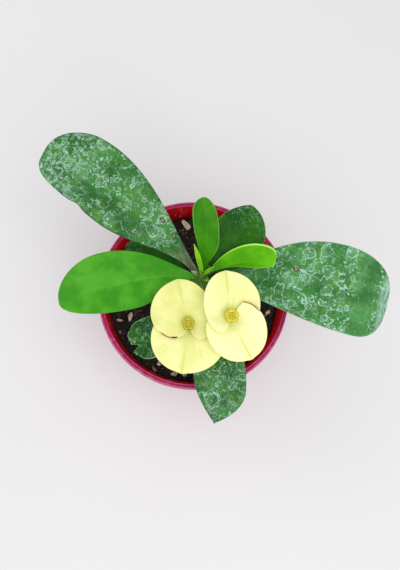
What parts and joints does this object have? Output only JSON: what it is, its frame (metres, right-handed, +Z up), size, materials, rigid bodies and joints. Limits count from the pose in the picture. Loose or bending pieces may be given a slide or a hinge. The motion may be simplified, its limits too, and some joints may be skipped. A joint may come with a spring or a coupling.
{
  "type": "potted euphorbia",
  "caption": "Small thorny-stemmed euphorbia with spoon-shaped leaves and paired pale yellow bracts on a forked stalk, planted in a tapered round nursery pot with a rolled rim.",
  "frame": {"origin": "middle of the pot's flat underside, on the surface it stands on", "axes": "+Z up along the pot's axis, +X towards the large right leaf, -Y towards the side where the flowers lean out"},
  "size_m": [0.1225, 0.1028, 0.1033],
  "materials": {
    "pot_plastic": "satin",
    "potting_mix": "matte",
    "stem_bark": "matte",
    "leaf_old": "satin",
    "leaf_bright": "satin",
    "leaf_young": "satin",
    "stalk_green": "satin",
    "bract_yellow": "matte",
    "nectar_yellow": "satin",
    "wood_chip": "matte",
    "stone_grit": "matte"
  },
  "bodies": {
    "root": {"pot": "pot_plastic", "soil": "potting_mix", "stem": "stem_bark", "leaf_left_large": "leaf_old", "leaf_right_large": "leaf_old", "leaf_back_dark": "leaf_old", "leaf_front_spotted": "leaf_old", "leaf_front_small": "leaf_old", "leaf_low_notched": "leaf_old", "leaf_left_shaded": "leaf_old", "leaf_left_bright": "leaf_bright", "leaf_back_young": "leaf_bright", "leaf_right_young": "leaf_young", "leaf_spear": "leaf_young", "leaf_bud": "leaf_young", "flower_stalk": "stalk_green", "bract_left_upper": "bract_yellow", "bract_left_lower": "bract_yellow", "bract_right_upper": "bract_yellow", "bract_right_lower": "bract_yellow", "cyathium_left": "nectar_yellow", "cyathium_right": "nectar_yellow", "stamens_left": "nectar_yellow", "stamens_right": "nectar_yellow", "bark_chip_back": "wood_chip", "bark_chip_left": "wood_chip", "grit_left": "stone_grit", "grit_front_left": "stone_grit", "grit_front_middle": "stone_grit", "grit_front_right": "stone_grit", "grit_right": "stone_grit"}
  },
  "joints": []
}
